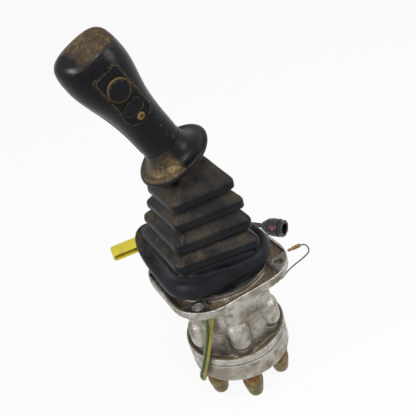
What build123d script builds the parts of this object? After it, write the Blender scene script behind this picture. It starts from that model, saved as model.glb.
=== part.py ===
"""Hydraulic pilot joystick valve: cast casing, port block, push rods, gimballed lever, boot and grip.

Millimetres. The origin is the centre of the four mounting holes on the flange's underside.
+Z runs up the valve axis, +X to the operator's right and -Y towards the operator.
"""

import os
from math import asin, cos, degrees, pi, radians, sin, tan

from build123d import *

os.makedirs("parts", exist_ok=True)

# ---------------------------------------------------------------- driving dimensions
# mounting flange
flange_width = 114.0
flange_corner = 36.0
flange_thickness = 8.0
hole_inset = 16.0  # from the flange's edge to a hole's middle
hole_spacing = flange_width - 2 * hole_inset
hole_diameter = 9.0
pocket_depth = 4.5
pocket_span = 66.0
rim_wall = 3.0
seat_radius = 47.5
seat_flat = 45.3

# casing
casing_height = 76.0
disc_diameter = 96.0
disc_thickness = 8.0
disc_rim_wall = 2.8
disc_pocket_depth = 4.0
core_radius = 38.5
port_count = 6
port_angle = -107.2
port_pcd = 71.8
column_radius = 11.5
column_pcd = 64.0
dome_radius = 12.0
dome_drop = 46.0
dome_pcd = 70.0
step_drop = 42.0
step_relief = 1.5
neck_height = 9.0
chamber_radius = 34.5
chamber_depth = 22.0
window_width = 13.0
window_reach = 30.0
window_height = 11.0
window_drop = 9.0
window_angle = -133.0
bore_radius = 7.5
bore_depth = 66.0
rod_count = 4
rod_pcd = 50.0

# port block
gasket_thickness = 0.8
block_height = 20.2
block_chamfer = 2.0
port_bore_radius = 6.0
port_depth = 13.0
spool_bore_depth = 14.0
screw_pcd = 34.0
screw_radius = 3.0
screw_head_radius = 5.0
screw_head_height = 6.0
screw_length = 46.0

# port adaptors
washer_thickness = 1.2
adaptor_hex = 17.0
hex_height = 7.0
nose_radius = 7.4
nose_tip_radius = 5.8
adaptor_drop = 31.0
adaptor_bore = 3.0

# gimbal and swash plate
pivot_height = 0.0
trunnion_radius = 2.0
gimbal_half = 4.0
lug_inner = 5.2
lug_thickness = 3.2
lug_half = 4.5
fork_depth = 7.5
plate_radius = 29.5
plate_height = 9.0
plate_thickness = 5.0
hub_radius = 9.0
stud_radius = 4.0
nut_height = 6.0
nut_flats = 24.0
lock_nut_height = 5.0
lock_nut_flats = 19.0

# push rods
rod_radius = 4.0
rod_gap = 0.7
seat_collar_radius = 6.8
seat_collar_height = 3.0
collar_drop = 46.0
spool_radius = 3.0
spool_length = 34.0
retainer_thickness = 4.0
guide_head_radius = 8.6
guide_head_height = 8.0
guide_length = 12.0
seal_height = 2.0
fit_clearance = 0.04
spring_radius = 5.2
spring_wire = 1.5
spring_turns = 4.0

# lever
lever_radius = 6.0
lever_sleeve_radius = 8.0
lever_sleeve_length = 15.0
boot_top_height = 117.0
crank_drop = 9.0  # from the boot's top down to the crank of the lever
crank_height = boot_top_height - crank_drop
crank_angle = 22.0
crank_bend = 24.0
lever_in_grip = 62.0

# boot
boot_plate_thickness = 2.0
boot_lips = (44.0, 57.5, 74.0, 91.0)
boot_halves = (41.0, 37.0, 32.0, 27.7)
boot_band = 6.5
boot_base_half = 49.0
boot_base_height = 25.0
boot_base_corner = 36.0
boot_corner = 7.0
boot_top_half = 15.5
boot_wall = 3.0
boot_overhang = 5.0
boot_neck_radius = 11.0
boot_cap_thickness = 4.0

# grip, measured along its own axis from the crank
skirt_radius = 33.0
skirt_height = 16.0
skirt_rim = 5.0
grip_start = 33.0
neck_radius = 17.0
grip_sections = (
    (33.0, 17.4, 17.0),
    (48.0, 17.3, 17.0),
    (66.0, 17.6, 18.5),
    (84.0, 20.0, 21.5),
    (102.0, 24.2, 24.5),
    (120.0, 26.0, 25.5),
    (131.0, 24.5, 23.0),
)
crown_sections = ((136.0, 22.5, 17.0), (139.5, 18.5, 10.0), (141.5, 13.0, 4.5))
grip_wall = 3.0
shell_gap = 0.1
panel_width = 22.5
panel_low = 69.5
panel_high = 121.0
panel_tilt = 7.4
panel_set = 21.2
panel_recess = 3.0
pad_width = 20.0
pad_low = 79.0
pad_height = 1.6
button_radius = 7.8
button_at = 103.5
button_rise = 2.4
button_travel = 2.0
button_rim = 1.7
blank_at = 86.2
blank_length = 15.5
blank_width = 8.6
blank_rise = 1.4
blank_travel = 1.2
panel_screw_at = 74.0
panel_screw_radius = 3.1
panel_foot_corner = 8.5
panel_head_corner = 2.0
grip_screw_places = ((68.0, 16.6), (96.0, 21.0), (124.0, 23.0))
grip_screw_radius = 3.0
grip_screw_head = 1.5
core_length = 30.0

# cables and what they carry
harness_diameter = 6.0
loop_diameter = 3.2
loop_spread = 2.6
earth_diameter = 1.8
grommet_length = 6.0
marker_length = 46.0
marker_thickness = 8.8
marker_wall = 0.8
marker_width = 24.0
connector_radius = 11.5
connector_length = 30.0
connector_x = 137.0
connector_y = 176.0
connector_heading = (0.5, -0.87, 0)
terminal_radius = 2.4
terminal_length = 17.0

# ---------------------------------------------------------------- derived sizes
flange_top = flange_thickness
block_top = -casing_height - gasket_thickness
block_bottom = block_top - block_height
chamber_floor = -chamber_depth
bore_bottom = -bore_depth
ground = block_bottom - adaptor_drop
seat_top = flange_top + boot_plate_thickness
plate_top = plate_height + plate_thickness
nut_top = plate_top + nut_height
lock_top = nut_top + lock_nut_height
collar_top = -collar_drop + seat_collar_height
spool_bottom = -collar_drop - spool_length
rod_places = {
    "right": (rod_pcd / 2, 0),
    "rear": (0, rod_pcd / 2),
    "left": (-rod_pcd / 2, 0),
    "front": (0, -rod_pcd / 2),
}


def finish(builder, label):
    """Label a finished piece and write it."""
    builder.part.label = label
    export_step(builder.part, f"parts/{label}.step")


# ---------------------------------------------------------------- casing and its mounting flange
with BuildPart() as casting:
    with BuildSketch(Plane.XY.offset(-casing_height)):
        Circle(disc_diameter / 2)
    extrude(amount=disc_thickness)
    # shallow tray inside the disc's raised rim
    with BuildSketch(Plane.XY.offset(-casing_height + disc_thickness)):
        Circle(disc_diameter / 2 - disc_rim_wall)
        Circle(core_radius - 2, mode=Mode.SUBTRACT)
    extrude(amount=-disc_pocket_depth, mode=Mode.SUBTRACT)
    # core, port columns and their domes
    with BuildSketch(Plane.XY.offset(-casing_height)):
        Circle(core_radius)
    extrude(amount=casing_height)
    with BuildSketch(Plane.XY.offset(-casing_height)):
        with PolarLocations(column_pcd / 2, port_count, start_angle=port_angle):
            Circle(column_radius)
    extrude(amount=casing_height)
    # thicker wall above the step between the columns
    with BuildSketch(Plane.XY.offset(-step_drop)):
        Circle(core_radius + step_relief)
    extrude(amount=step_drop)
    with Locations(Plane.XY.offset(-dome_drop)):
        with PolarLocations(dome_pcd / 2, port_count, start_angle=port_angle):
            Sphere(dome_radius)
    # flared neck under the flange
    with BuildSketch(Plane.XY.offset(-neck_height)):
        Circle(column_pcd / 2 + column_radius - 1)
    extrude(amount=neck_height, taper=-28)
    with BuildSketch(Plane.XY):
        RectangleRounded(flange_width, flange_width, flange_corner)
    extrude(amount=flange_thickness)
    # pockets between the ears
    with BuildSketch(Plane.XY.offset(flange_top)):
        for turn in range(4):
            with Locations(Rot(0, 0, 90 * turn) * Pos(0, flange_width / 4)):
                Rectangle(pocket_span, flange_width / 2 - 2 * rim_wall, align=(Align.CENTER, Align.CENTER))
        Circle(seat_radius, mode=Mode.SUBTRACT)
    extrude(amount=-pocket_depth, mode=Mode.SUBTRACT)
    # mechanism chamber, push-rod bores and screw holes
    with BuildSketch(Plane.XY.offset(chamber_floor)):
        Circle(chamber_radius)
    extrude(amount=chamber_depth + flange_thickness, mode=Mode.SUBTRACT)
    with BuildSketch(Plane.XY.offset(bore_bottom)):
        with PolarLocations(rod_pcd / 2, rod_count):
            Circle(bore_radius + fit_clearance)
    extrude(amount=bore_depth - chamber_depth, mode=Mode.SUBTRACT)
    with BuildSketch(Plane.XY.offset(-casing_height)):
        with PolarLocations(rod_pcd / 2, rod_count):
            Circle(spool_radius + fit_clearance)
        with PolarLocations(screw_pcd / 2, 4, start_angle=45):
            Circle(screw_radius + fit_clearance)
    extrude(amount=casing_height - bore_depth, mode=Mode.SUBTRACT)
    with BuildSketch(Plane.XY.offset(-casing_height)):
        with PolarLocations(screw_pcd / 2, 4, start_angle=45):
            Circle(screw_radius + fit_clearance)
    extrude(amount=screw_length - block_height + 1, mode=Mode.SUBTRACT)
    # wire windows under the flange
    for angle in (window_angle, window_angle + 180):
        with BuildSketch(Plane.XY.offset(-window_drop)):
            with Locations(Rot(0, 0, angle) * Pos(column_pcd / 2 + 8, 0)):
                Rectangle(window_reach, window_width)
        extrude(amount=-window_height, mode=Mode.SUBTRACT)
    with BuildSketch(Plane.XY):
        with GridLocations(hole_spacing, hole_spacing, 2, 2):
            Circle(hole_diameter / 2)
    extrude(amount=flange_thickness, mode=Mode.SUBTRACT)
    fillet(casting.edges().group_by(Axis.Z)[-1].sort_by(SortBy.LENGTH)[-1], 1.2)

with BuildPart() as casing:
    add(casting.part)
    split(bisect_by=Plane.XY, keep=Keep.BOTTOM)
finish(casing, "casing")

with BuildPart() as mounting_flange:
    add(casting.part)
    split(bisect_by=Plane.XY, keep=Keep.TOP)
finish(mounting_flange, "mounting_flange")

# ---------------------------------------------------------------- port block, gasket and screws
with BuildPart() as port_block:
    with BuildSketch(Plane.XY.offset(block_bottom)):
        Circle(disc_diameter / 2)
    extrude(amount=block_height)
    chamfer(port_block.edges().group_by(Axis.Z)[0], block_chamfer)
    with BuildSketch(Plane.XY.offset(block_bottom)):
        with PolarLocations(port_pcd / 2, port_count, start_angle=port_angle):
            Circle(port_bore_radius)
    extrude(amount=port_depth, mode=Mode.SUBTRACT)
    with BuildSketch(Plane.XY.offset(block_top)):
        with PolarLocations(rod_pcd / 2, rod_count):
            Circle(spool_radius + fit_clearance)
    extrude(amount=-spool_bore_depth, mode=Mode.SUBTRACT)
    with BuildSketch(Plane.XY.offset(block_bottom)):
        with PolarLocations(screw_pcd / 2, 4, start_angle=45):
            Circle(screw_radius + fit_clearance)
    extrude(amount=block_height, mode=Mode.SUBTRACT)
    with BuildSketch(Plane.XY.offset(block_bottom)):
        with PolarLocations(screw_pcd / 2, 4, start_angle=45):
            Circle(screw_head_radius + 0.3)
    extrude(amount=screw_head_height, mode=Mode.SUBTRACT)
finish(port_block, "port_block")

with BuildPart() as body_gasket:
    with BuildSketch(Plane.XY.offset(block_top)):
        Circle(disc_diameter / 2 - 1)
        with PolarLocations(rod_pcd / 2, rod_count):
            Circle(spool_radius + 1, mode=Mode.SUBTRACT)
        with PolarLocations(screw_pcd / 2, 4, start_angle=45):
            Circle(screw_radius + 0.3, mode=Mode.SUBTRACT)
    extrude(amount=gasket_thickness)
finish(body_gasket, "body_gasket")

with BuildPart() as block_screws:
    with BuildSketch(Plane.XY.offset(block_bottom)):
        with PolarLocations(screw_pcd / 2, 4, start_angle=45):
            Circle(screw_head_radius)
            RegularPolygon(2.9, 6, mode=Mode.SUBTRACT)
    extrude(amount=screw_head_height)
    with BuildSketch(Plane.XY.offset(block_bottom + 3)):
        with PolarLocations(screw_pcd / 2, 4, start_angle=45):
            Circle(screw_radius)
    extrude(amount=screw_length - 3)
finish(block_screws, "block_screws")

# ---------------------------------------------------------------- port adaptors and washers
nose_top = block_bottom - washer_thickness - hex_height
with BuildPart() as port_adaptors:
    with BuildSketch(Plane.XY.offset(block_bottom - washer_thickness)):
        with PolarLocations(port_pcd / 2, port_count, start_angle=port_angle):
            Circle(port_bore_radius - 0.05)
    extrude(amount=port_depth + washer_thickness - 2)
    with BuildSketch(Plane.XY.offset(nose_top)):
        with PolarLocations(port_pcd / 2, port_count, start_angle=port_angle):
            RegularPolygon(adaptor_hex / 2, 6, major_radius=False)
    extrude(amount=hex_height)
    with BuildSketch(Plane.XY.offset(nose_top)) as nose_upper:
        with PolarLocations(port_pcd / 2, port_count, start_angle=port_angle):
            Circle(nose_radius)
    nose_length = nose_top - ground
    extrude(amount=-nose_length, taper=degrees(asin((nose_radius - nose_tip_radius) / nose_length)))
    fillet(port_adaptors.edges().group_by(Axis.Z)[0], 2.2)
    with BuildSketch(Plane.XY.offset(ground)):
        with PolarLocations(port_pcd / 2, port_count, start_angle=port_angle):
            Circle(adaptor_bore)
    extrude(amount=adaptor_drop + port_depth, mode=Mode.SUBTRACT)
finish(port_adaptors, "port_adaptors")

with BuildPart() as port_washers:
    with BuildSketch(Plane.XY.offset(block_bottom - washer_thickness)):
        with PolarLocations(port_pcd / 2, port_count, start_angle=port_angle):
            Circle(adaptor_hex / 2 + 0.6)
            Circle(port_bore_radius, mode=Mode.SUBTRACT)
    extrude(amount=washer_thickness)
finish(port_washers, "port_washers")

# ---------------------------------------------------------------- retainer plate, rod guides and seals
retainer_top = chamber_floor + retainer_thickness
guide_top = retainer_top + guide_head_height
with BuildPart() as retainer_plate:
    with BuildSketch(Plane.XY.offset(chamber_floor)):
        Circle(chamber_radius - 0.3)
        with PolarLocations(rod_pcd / 2, rod_count):
            Circle(bore_radius + fit_clearance, mode=Mode.SUBTRACT)
        Circle(stud_radius + fit_clearance, mode=Mode.SUBTRACT)
    extrude(amount=retainer_thickness)
finish(retainer_plate, "retainer_plate")

with BuildPart() as rod_guides:
    with BuildSketch(Plane.XY.offset(chamber_floor - guide_length)):
        with PolarLocations(rod_pcd / 2, rod_count):
            Circle(bore_radius)
    extrude(amount=guide_length + retainer_thickness)
    with BuildSketch(Plane.XY.offset(retainer_top)):
        with PolarLocations(rod_pcd / 2, rod_count):
            Circle(guide_head_radius)
    extrude(amount=guide_head_height)
    chamfer(rod_guides.edges().group_by(Axis.Z)[-1], 1.0)
    with BuildSketch(Plane.XY.offset(guide_top)):
        with PolarLocations(rod_pcd / 2, rod_count):
            Circle(rod_radius + 2)
    extrude(amount=-seal_height, mode=Mode.SUBTRACT)
    with BuildSketch(Plane.XY.offset(chamber_floor - guide_length)):
        with PolarLocations(rod_pcd / 2, rod_count):
            Circle(rod_radius + fit_clearance)
    extrude(amount=guide_length + retainer_thickness + guide_head_height, mode=Mode.SUBTRACT)
finish(rod_guides, "rod_guides")

with BuildPart() as rod_seals:
    with BuildSketch(Plane.XY.offset(guide_top - seal_height)):
        with PolarLocations(rod_pcd / 2, rod_count):
            Circle(rod_radius + 2 - fit_clearance)
            Circle(rod_radius + fit_clearance, mode=Mode.SUBTRACT)
    extrude(amount=seal_height)
finish(rod_seals, "rod_seals")

# ---------------------------------------------------------------- push rods, spools and return springs
rod_top = plate_height - rod_gap
for side, (rod_x, rod_y) in rod_places.items():
    rod_plane = Plane((rod_x, rod_y, 0))
    with BuildPart() as push_rod:
        with BuildSketch(rod_plane.offset(-collar_drop)):
            Circle(seat_collar_radius)
        extrude(amount=seat_collar_height)
        with BuildSketch(rod_plane.offset(collar_top)):
            Circle(rod_radius)
        extrude(amount=rod_top - collar_top)
        fillet(push_rod.edges().group_by(Axis.Z)[-1], rod_radius - 0.6)
    finish(push_rod, f"push_rod_{side}")

    with BuildPart() as spool:
        with BuildSketch(rod_plane.offset(spool_bottom)):
            Circle(spool_radius)
        extrude(amount=spool_length)
        with BuildSketch(rod_plane.offset(spool_bottom + spool_length / 3)):
            Circle(spool_radius + 1)
            Circle(spool_radius * 0.65, mode=Mode.SUBTRACT)
        extrude(amount=spool_length / 8, mode=Mode.SUBTRACT)
        with BuildSketch(rod_plane.offset(spool_bottom)):
            Circle(spool_radius * 0.4)
        extrude(amount=spool_length / 2, mode=Mode.SUBTRACT)
    finish(spool, f"spool_{side}")

    spring_space = bore_depth - collar_drop
    spring_height = spring_space - spring_wire - 0.4
    with BuildPart() as return_spring:
        with BuildLine(rod_plane.offset(bore_bottom + spring_wire / 2 + 0.2)):
            coil = Helix(spring_height / spring_turns, spring_height, spring_radius)
        with BuildSketch(Plane(origin=coil @ 0, z_dir=coil % 0)):
            Rectangle(spring_wire, spring_wire * 0.8)
        sweep(path=coil, is_frenet=True)
    finish(return_spring, f"return_spring_{side}")

# ---------------------------------------------------------------- gimbal: base stud, cross and yoke
lug_outer = lug_inner + lug_thickness
with BuildPart() as joint_stud:
    with BuildSketch(Plane.XY.offset(chamber_floor)):
        Circle(stud_radius)
    extrude(amount=retainer_thickness)
    with BuildSketch(Plane.XY.offset(retainer_top)):
        RegularPolygon(hub_radius, 6)
    extrude(amount=plate_height - 1)
    with BuildSketch(Plane.YZ.offset(-lug_outer)):
        with Locations((0, pivot_height)):
            Circle(lug_half)
        with Locations((0, (pivot_height + retainer_top + plate_height - 1) / 2)):
            Rectangle(2 * lug_half, pivot_height - retainer_top - plate_height + 1)
    extrude(amount=2 * lug_outer)
    with BuildSketch(Plane.YZ.offset(-lug_inner)):
        with Locations((0, pivot_height + lug_half - fork_depth / 2)):
            Rectangle(4 * lug_half, fork_depth + 2 * lug_half)
    extrude(amount=2 * lug_inner, mode=Mode.SUBTRACT)
    with BuildSketch(Plane.YZ.offset(-lug_outer)):
        with Locations((0, pivot_height)):
            Circle(trunnion_radius + fit_clearance)
    extrude(amount=2 * lug_outer, mode=Mode.SUBTRACT)
finish(joint_stud, "joint_stud")

with BuildPart() as gimbal_cross:
    with Locations((0, 0, pivot_height)):
        Box(2 * gimbal_half, 2 * gimbal_half, 2 * gimbal_half)
        Cylinder(trunnion_radius, 2 * lug_outer, rotation=(0, 90, 0))
        Cylinder(trunnion_radius, 2 * lug_outer, rotation=(90, 0, 0))
finish(gimbal_cross, "gimbal_cross")

with BuildPart() as yoke:
    with BuildSketch(Plane.XZ.offset(-lug_outer)):
        with Locations((0, pivot_height)):
            Circle(lug_half)
        with Locations((0, (pivot_height + plate_top) / 2)):
            Rectangle(2 * lug_half, plate_top - pivot_height)
    extrude(amount=2 * lug_outer)
    with BuildSketch(Plane.XZ.offset(-lug_inner)):
        with Locations((0, (pivot_height + plate_height) / 2 - lug_half)):
            Rectangle(4 * lug_half, plate_height - pivot_height + 2 * lug_half)
    extrude(amount=2 * lug_inner, mode=Mode.SUBTRACT)
    with BuildSketch(Plane.XY.offset(pivot_height - lug_half)):
        Circle(hub_radius)
    extrude(amount=plate_top - pivot_height + lug_half, mode=Mode.INTERSECT)
    with BuildSketch(Plane.XY.offset(plate_height)):
        Circle(hub_radius)
    extrude(amount=plate_thickness)
    with BuildSketch(Plane.XY.offset(plate_top)):
        Circle(stud_radius)
    extrude(amount=lock_top - plate_top + lever_sleeve_length * 0.6)
    with BuildSketch(Plane.XZ.offset(-lug_outer)):
        with Locations((0, pivot_height)):
            Circle(trunnion_radius + fit_clearance)
    extrude(amount=2 * lug_outer, mode=Mode.SUBTRACT)
finish(yoke, "yoke")

with BuildPart() as swash_plate:
    with BuildSketch(Plane.XY.offset(plate_height)):
        Circle(plate_radius)
        Circle(hub_radius + fit_clearance, mode=Mode.SUBTRACT)
    extrude(amount=plate_thickness)
    chamfer(swash_plate.edges().filter_by(GeomType.CIRCLE).sort_by(SortBy.RADIUS)[-2:], 1.0)
finish(swash_plate, "swash_plate")

with BuildPart() as adjusting_nut:
    with BuildSketch(Plane.XY.offset(plate_top)):
        RegularPolygon(nut_flats / 2, 6, major_radius=False)
        Circle(stud_radius + fit_clearance, mode=Mode.SUBTRACT)
    extrude(amount=nut_height)
finish(adjusting_nut, "adjusting_nut")

with BuildPart() as lock_nut:
    with BuildSketch(Plane.XY.offset(nut_top)):
        RegularPolygon(lock_nut_flats / 2, 6, major_radius=False)
        Circle(stud_radius + fit_clearance, mode=Mode.SUBTRACT)
    extrude(amount=lock_nut_height)
finish(lock_nut, "lock_nut")

# ---------------------------------------------------------------- cranked lever rod
lean = radians(crank_angle)
grip_axis = Vector(-sin(lean), 0, cos(lean))
crank = Vector(0, 0, crank_height)
grip_frame = Plane(origin=crank, x_dir=(cos(lean), 0, sin(lean)), z_dir=grip_axis)
with BuildPart() as lever_rod:
    with BuildLine() as lever_line:
        FilletPolyline((0, 0, lock_top + 1), crank, crank + grip_axis * lever_in_grip, radius=crank_bend)
    with BuildSketch(Plane.XY.offset(lock_top + 1)):
        Circle(lever_radius)
    sweep(path=lever_line.line)
    with BuildSketch(Plane.XY.offset(lock_top)):
        Circle(lever_sleeve_radius)
    extrude(amount=lever_sleeve_length)
    fillet(lever_rod.edges().filter_by(GeomType.CIRCLE).filter_by(lambda e: abs(e.radius - lever_sleeve_radius) < 0.01).sort_by(Axis.Z)[-1], 1.2)
    with BuildSketch(Plane.XY.offset(lock_top)):
        Circle(stud_radius + fit_clearance)
    extrude(amount=lever_sleeve_length * 0.6 + 0.5, mode=Mode.SUBTRACT)
finish(lever_rod, "lever_rod")

# ---------------------------------------------------------------- boot and its plate
with BuildPart() as boot_plate:
    with BuildSketch(Plane.XY.offset(flange_top)):
        Circle(seat_radius)
        Rectangle(2 * seat_flat, 2 * seat_flat, rotation=45, mode=Mode.INTERSECT)
        Circle(chamber_radius + 2, mode=Mode.SUBTRACT)
    extrude(amount=boot_plate_thickness)
finish(boot_plate, "boot_plate")

lips = list(boot_lips) + [boot_top_height]
with BuildPart() as boot:
    with BuildSketch(Plane.XY.offset(seat_top)):
        RectangleRounded(2 * boot_base_half - 6, 2 * boot_base_half - 6, boot_base_corner - 3)
    extrude(amount=boot_base_height / 4, taper=-25)
    with BuildSketch(Plane.XY.offset(seat_top + boot_base_height / 4)):
        RectangleRounded(2 * boot_base_half, 2 * boot_base_half, boot_base_corner)
    extrude(amount=boot_base_height * 3 / 4, taper=18)
    for index, (lip, half) in enumerate(zip(boot_lips, boot_halves)):
        if index < len(boot_lips) - 1:
            upper_half = boot_halves[index + 1] - boot_overhang
        else:
            upper_half = boot_top_half
        slope_start = lip + boot_band
        slope_height = lips[index + 1] - slope_start
        with BuildSketch(Plane.XY.offset(lip)):
            RectangleRounded(2 * half, 2 * half, boot_corner)
        extrude(amount=boot_band)
        with BuildSketch(Plane.XY.offset(slope_start)):
            RectangleRounded(2 * half, 2 * half, boot_corner)
        with BuildSketch(Plane.XY.offset(lips[index + 1])):
            RectangleRounded(2 * upper_half, 2 * upper_half, boot_corner - 2)
        loft()
    # first web joins the base to the lowest pleat
    with BuildSketch(Plane.XY.offset(seat_top + boot_base_height - 4)):
        RectangleRounded(2 * (boot_halves[0] - boot_overhang), 2 * (boot_halves[0] - boot_overhang), boot_corner)
    extrude(amount=boot_lips[0] - seat_top - boot_base_height + 4)
    # hollow inside for the plate, nuts and lever
    inner_low = boot_halves[0] - boot_wall
    inner_high = boot_halves[-1] - boot_overhang - boot_wall
    with BuildSketch(Plane.XY.offset(seat_top)):
        RectangleRounded(2 * inner_low, 2 * inner_low, boot_corner)
    with BuildSketch(Plane.XY.offset(boot_lips[-1])):
        RectangleRounded(2 * inner_high, 2 * inner_high, boot_corner - 2)
    loft(mode=Mode.SUBTRACT)
    with BuildSketch(Plane.XY.offset(boot_lips[-1])):
        RectangleRounded(2 * inner_high, 2 * inner_high, boot_corner - 2)
    with BuildSketch(Plane.XY.offset(boot_top_height - boot_cap_thickness)):
        RectangleRounded(2 * boot_top_half - 2 * boot_wall, 2 * boot_top_half - 2 * boot_wall, boot_corner - 3)
    loft(mode=Mode.SUBTRACT)
    with BuildSketch(Plane.XY.offset(boot_lips[-1])):
        Circle(boot_neck_radius)
    extrude(amount=boot_top_height - boot_lips[-1], mode=Mode.SUBTRACT)
finish(boot, "boot")

# ---------------------------------------------------------------- grip skirt
with BuildPart() as grip_skirt:
    with BuildSketch(Plane(origin=crank, x_dir=grip_frame.x_dir, z_dir=-grip_frame.y_dir)):
        with BuildLine():
            outer_top = (skirt_radius - 1.5, skirt_height + skirt_rim)
            low_lip = (skirt_radius - 3, skirt_height)
            Polyline((lever_radius + 0.1, skirt_height + 4), (skirt_radius - 8, skirt_height), low_lip)
            ThreePointArc(low_lip, (skirt_radius, skirt_height + skirt_rim / 2), outer_top)
            Spline(outer_top, (neck_radius + 5, skirt_height + 9), (neck_radius + 0.5, grip_start),
                   tangents=((-1, 0.15), (-0.2, 1)))
            Polyline((neck_radius + 0.5, grip_start), (lever_radius + 0.1, grip_start), (lever_radius + 0.1, skirt_height + 4))
        make_face()
    revolve(axis=Axis(crank, grip_axis))
finish(grip_skirt, "grip_skirt")

# ---------------------------------------------------------------- grip shells and core
panel_mid = (panel_low + panel_high) / 2
face_plane = Plane(
    origin=grip_frame.from_local_coords((0, -panel_set, panel_mid)),
    x_dir=grip_frame.x_dir,
    z_dir=-grip_frame.y_dir * cos(radians(panel_tilt)) - grip_axis * sin(radians(panel_tilt)),
)
button_y = button_at - panel_mid
blank_y = blank_at - panel_mid
screw_y = panel_screw_at - panel_mid
with BuildPart() as grip_blank:
    for height, half_x, half_y in grip_sections:
        with BuildSketch(grip_frame.offset(height)):
            Ellipse(half_x, half_y)
    loft()
    top_height, top_x, top_y = grip_sections[-1]
    with BuildSketch(grip_frame.offset(top_height)):
        Ellipse(top_x, top_y)
    for height, half_x, half_y in crown_sections:
        with BuildSketch(grip_frame.offset(height)):
            Ellipse(half_x, half_y)
    loft()
with BuildPart() as grip_cavity:
    for height, half_x, half_y in grip_sections:
        with BuildSketch(grip_frame.offset(height if height > grip_start else height - 1)):
            Ellipse(half_x - grip_wall, half_y - grip_wall)
    loft()

with BuildPart() as grip_front:
    add(grip_blank.part)
    add(grip_cavity.part, mode=Mode.SUBTRACT)
    parting = Plane(origin=grip_frame.from_local_coords((0, -shell_gap / 2, 0)), z_dir=-grip_frame.y_dir)
    split(bisect_by=parting, keep=Keep.TOP)
    with BuildSketch(face_plane) as recess:
        Rectangle(panel_width, panel_high - panel_low)
        fillet(recess.vertices().group_by(Axis.Y)[0], panel_foot_corner)
        fillet(recess.vertices().group_by(Axis.Y)[-1], panel_head_corner)
    extrude(amount=panel_recess, both=True, mode=Mode.SUBTRACT)
    with BuildSketch(face_plane.offset(-panel_recess)):
        with Locations((0, button_y)):
            Circle(button_radius + grip_wall / 4)
    extrude(amount=-button_travel - fit_clearance, mode=Mode.SUBTRACT)
    with BuildSketch(face_plane.offset(-panel_recess)):
        with Locations((0, blank_y)):
            SlotOverall(blank_length + grip_wall / 2, blank_width + grip_wall / 2)
    extrude(amount=-blank_travel - fit_clearance, mode=Mode.SUBTRACT)
finish(grip_front, "grip_front")

with BuildPart() as grip_rear:
    add(grip_blank.part)
    add(grip_cavity.part, mode=Mode.SUBTRACT)
    parting = Plane(origin=grip_frame.from_local_coords((0, shell_gap / 2, 0)), z_dir=grip_frame.y_dir)
    split(bisect_by=parting, keep=Keep.TOP)
    for height, back in grip_screw_places:
        seat = Plane(
            origin=grip_frame.from_local_coords((0, back, height)),
            x_dir=grip_frame.x_dir,
            z_dir=grip_frame.y_dir,
        )
        with BuildSketch(seat):
            Circle(grip_screw_radius + 0.3)
        extrude(amount=grip_wall + 2, mode=Mode.SUBTRACT)
        with BuildSketch(seat):
            Circle(grip_screw_radius / 2 + fit_clearance)
        extrude(amount=-grip_wall, mode=Mode.SUBTRACT)
finish(grip_rear, "grip_rear")

with BuildPart() as grip_screws:
    for height, back in grip_screw_places:
        seat = Plane(
            origin=grip_frame.from_local_coords((0, back, height)),
            x_dir=grip_frame.x_dir,
            z_dir=grip_frame.y_dir,
        )
        with BuildSketch(seat):
            Circle(grip_screw_radius)
            RegularPolygon(grip_screw_radius * 0.5, 6, mode=Mode.SUBTRACT)
        extrude(amount=grip_screw_head)
        with BuildSketch(seat):
            Circle(grip_screw_radius / 2)
        extrude(amount=-grip_wall - 1)
        with BuildSketch(seat):
            Circle(grip_screw_radius / 2)
        extrude(amount=grip_screw_head / 3)
finish(grip_screws, "grip_screws")

with BuildPart() as grip_core:
    with BuildSketch(grip_frame.offset(grip_start)):
        Circle(neck_radius - grip_wall - 0.2)
        Circle(lever_radius + fit_clearance, mode=Mode.SUBTRACT)
    extrude(amount=core_length)
finish(grip_core, "grip_core")

# ---------------------------------------------------------------- switch panel and its buttons
with BuildPart() as switch_panel:
    with BuildSketch(face_plane.offset(-panel_recess)) as plate_outline:
        Rectangle(panel_width - 0.3, panel_high - panel_low - 0.3)
        fillet(plate_outline.vertices().group_by(Axis.Y)[0], panel_foot_corner)
        fillet(plate_outline.vertices().group_by(Axis.Y)[-1], panel_head_corner)
    extrude(amount=panel_recess)
    with BuildSketch(face_plane) as pad_outline:
        with Locations((0, (pad_low + panel_high - 1) / 2 - panel_mid)):
            Rectangle(pad_width, panel_high - 1 - pad_low)
        fillet(pad_outline.vertices().group_by(Axis.Y)[0], panel_foot_corner - 1)
        fillet(pad_outline.vertices().group_by(Axis.Y)[-1], panel_head_corner)
    extrude(amount=pad_height)
    with BuildSketch(face_plane.offset(pad_height)):
        with Locations((0, button_y)):
            Circle(button_radius + fit_clearance)
        with Locations((0, blank_y)):
            SlotOverall(blank_length + 2 * fit_clearance, blank_width + 2 * fit_clearance)
    extrude(amount=-panel_recess - pad_height, mode=Mode.SUBTRACT)
    with BuildSketch(face_plane):
        with Locations((0, screw_y)):
            Circle(panel_screw_radius + fit_clearance)
    extrude(amount=-panel_recess / 2, mode=Mode.SUBTRACT)
finish(switch_panel, "switch_panel")

with BuildPart() as button_bezel:
    with BuildSketch(face_plane.offset(pad_height)):
        with Locations((0, button_y)):
            Circle(button_radius + button_rim)
            Circle(button_radius + fit_clearance, mode=Mode.SUBTRACT)
    extrude(amount=button_rim)
    fillet(button_bezel.edges().group_by(Axis(face_plane.origin, face_plane.z_dir))[-1], button_rim * 0.4)
finish(button_bezel, "button_bezel")

with BuildPart() as push_button:
    with BuildSketch(face_plane.offset(-panel_recess)):
        with Locations((0, button_y)):
            Circle(button_radius)
    extrude(amount=panel_recess + pad_height + button_rise)
    fillet(push_button.edges().group_by(Axis(face_plane.origin, face_plane.z_dir))[-1], 1.0)
finish(push_button, "push_button")

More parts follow.
